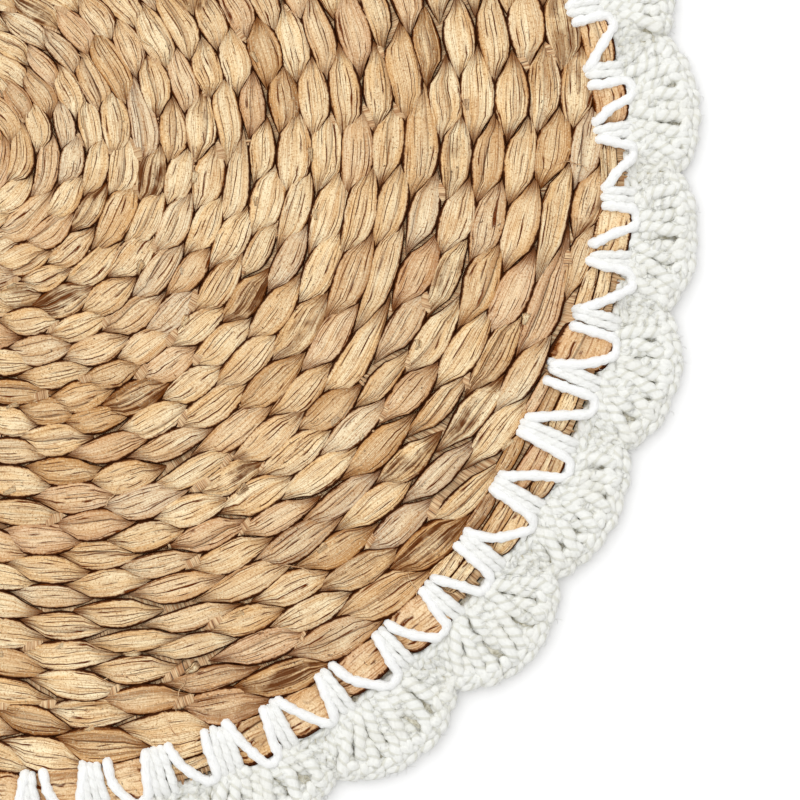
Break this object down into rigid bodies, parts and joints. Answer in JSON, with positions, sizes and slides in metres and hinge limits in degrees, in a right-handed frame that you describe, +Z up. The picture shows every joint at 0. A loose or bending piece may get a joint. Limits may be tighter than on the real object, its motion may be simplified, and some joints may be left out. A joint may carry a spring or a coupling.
{
  "type": "placemat",
  "caption": "Round placemat twined from flattened dried plant stems, with a scalloped crocheted cotton edging hooked over its rim. It lies flat on a table.",
  "frame": {"origin": "middle of the mat, on the surface it lies on", "axes": "+Z up out of the surface, +X and +Y in the surface, with +X to the right and +Y to the top of the picture"},
  "size_m": [0.378, 0.3782, 0.007],
  "materials": {
    "twined_stems": "dried flattened plant stems, matt with a faint satin, straw to tan with brown streaks",
    "cotton_yarn": "softly twisted unbleached white cotton yarn, matt"
  },
  "bodies": {
    "root": {"woven_mat": "twined_stems", "crochet_edging": "cotton_yarn"}
  },
  "joints": []
}
